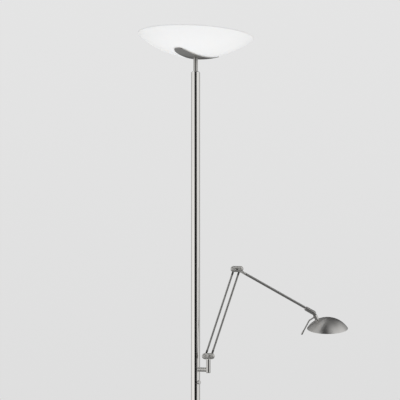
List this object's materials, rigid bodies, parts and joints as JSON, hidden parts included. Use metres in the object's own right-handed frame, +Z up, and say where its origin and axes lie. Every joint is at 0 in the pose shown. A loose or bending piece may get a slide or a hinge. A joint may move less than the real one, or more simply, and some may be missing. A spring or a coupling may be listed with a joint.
{
  "type": "torchiere floor lamp",
  "caption": "Slim torchiere floor lamp: round weighted base, tube pole, shallow opal glass uplighter bowl on a leaf bracket, and a jointed reading arm with a metal dome shade.",
  "frame": {"origin": "on the floor, at the centre of the round base and on the pole's axis", "axes": "+Z up along the pole, +X towards the reading arm, -Y the front"},
  "size_m": [0.6586, 0.368, 1.8001],
  "materials": {
    "polished_nickel": "polished, slightly satin",
    "satin_nickel": "satin",
    "turned_nickel": "fine turned",
    "drawn_nickel": "satin, drawn lengthwise",
    "brushed_nickel": "brushed, matt",
    "leaf_metal": "satin, darker",
    "rod_metal": "satin",
    "shade_metal": "brushed in rings",
    "opal_glass": "white opal, satin",
    "clear_glass": "clear",
    "frosted_glass": "frosted",
    "bright_aluminium": "bright",
    "zinc_steel": "zinc plated",
    "white_ceramic": "unglazed",
    "cast_iron": "as cast, painted",
    "black_felt": "felt",
    "black_rubber": "matte",
    "white_nylon": "matte",
    "black_plastic": "matte"
  },
  "bodies": {
    "stand": {"base_felt": "black_felt", "base_weight": "cast_iron", "base_cover": "satin_nickel", "base_washer": "zinc_steel", "base_nut": "zinc_steel", "base_nipple": "zinc_steel", "inlet_grommet": "black_rubber", "foot_collar": "satin_nickel", "pole_foot_insert": "zinc_steel", "pole_tube": "polished_nickel", "pole_cap": "polished_nickel", "stem_nut": "zinc_steel", "dimmer_module": "black_plastic", "glass_bowl": "opal_glass", "leaf_bracket": "leaf_metal", "lower_gasket": "black_rubber", "stem_tube": "drawn_nickel", "head_nipple": "zinc_steel", "upper_gasket": "black_rubber", "clamp_washer": "zinc_steel", "head_nuts": "zinc_steel", "lamp_carrier": "bright_aluminium", "lamp_holders": "white_ceramic", "halogen_end_caps": "white_ceramic", "halogen_tube": "clear_glass", "safety_glass": "clear_glass", "bracket_stub": "brushed_nickel", "bracket_post": "turned_nickel", "post_plug": "turned_nickel", "post_grub_screw": "zinc_steel", "swivel_washer": "white_nylon", "stub_nipple": "zinc_steel", "stub_nut": "zinc_steel", "stub_saddle": "zinc_steel"},
    "dimmer": {"dimmer_knob": "satin_nickel", "dimmer_spindle": "zinc_steel"},
    "arm_swivel": {"lower_hub": "brushed_nickel", "swivel_pin": "zinc_steel", "lower_pin_left": "zinc_steel", "lower_pin_right": "zinc_steel"},
    "tension_knob": {"friction_knob": "brushed_nickel"},
    "left_rod": {"arm_rod_left": "rod_metal"},
    "right_rod": {"arm_rod_right": "rod_metal"},
    "elbow": {"upper_hub": "brushed_nickel", "upper_hub_pins": "zinc_steel"},
    "upper_arm": {"arm_tongue": "brushed_nickel", "upper_arm_tube": "rod_metal"},
    "head_swivel": {"head_hub": "rod_metal", "tilt_screw": "zinc_steel"},
    "head": {"head_stem": "turned_nickel", "shade_nut": "zinc_steel", "shade": "shade_metal", "reflector": "bright_aluminium", "shade_screw": "rod_metal", "bulb_socket": "white_ceramic", "halogen_capsule": "clear_glass", "front_glass": "frosted_glass", "glass_ring": "zinc_steel", "handle_wire": "rod_metal", "handle_grip": "rod_metal"}
  },
  "joints": [
    {"name": "dimmer_turn", "type": "hinge", "parent": "stand", "child": "dimmer", "pos_m": [0.01004, -0.01115, 0.6937], "axis": [0.6691, -0.7431, 0], "range_deg": [0, 270]},
    {"name": "arm_swing", "type": "hinge", "parent": "stand", "child": "arm_swivel", "pos_m": [0.03985, -0.03848, 0.7557], "axis": [0, 0, 1], "range_deg": [-160, 72]},
    {"name": "tension_knob_turn", "type": "hinge", "parent": "arm_swivel", "child": "tension_knob", "pos_m": [0.03055, -0.05188, 0.7757], "axis": [0, -1, 0], "range_deg": [-90, 90]},
    {"name": "lower_arm_tilt", "type": "hinge", "parent": "arm_swivel", "child": "left_rod", "pos_m": [0.03055, -0.03478, 0.7757], "axis": [0, 1, 0], "range_deg": [-17, 41]},
    {"name": "right_rod_tilt", "type": "hinge", "parent": "arm_swivel", "child": "right_rod", "pos_m": [0.04915, -0.03478, 0.7757], "axis": [0, 1, 0], "range_deg": [-17, 41]},
    {"name": "elbow_level", "type": "hinge", "parent": "left_rod", "child": "elbow", "pos_m": [0.12013, -0.03478, 1.04657], "axis": [0, 1, 0], "range_deg": [-41, 17]},
    {"name": "upper_arm_tilt", "type": "hinge", "parent": "elbow", "child": "upper_arm", "pos_m": [0.12943, -0.04218, 1.04617], "axis": [0, 1, 0], "range_deg": [-75, 50]},
    {"name": "head_roll", "type": "hinge", "parent": "upper_arm", "child": "head_swivel", "pos_m": [0.34032, -0.04218, 0.92686], "axis": [0.8704, 0, -0.4924], "range_deg": [-108, 72]},
    {"name": "head_tilt", "type": "hinge", "parent": "head_swivel", "child": "head", "pos_m": [0.36774, -0.04218, 0.91135], "axis": [0.1522, 0.9511, 0.269], "range_deg": [-70, 60]}
  ],
  "couplings": [
    {"joint": "right_rod_tilt", "follows": "lower_arm_tilt", "ratio": 1},
    {"joint": "elbow_level", "follows": "lower_arm_tilt", "ratio": -1}
  ]
}
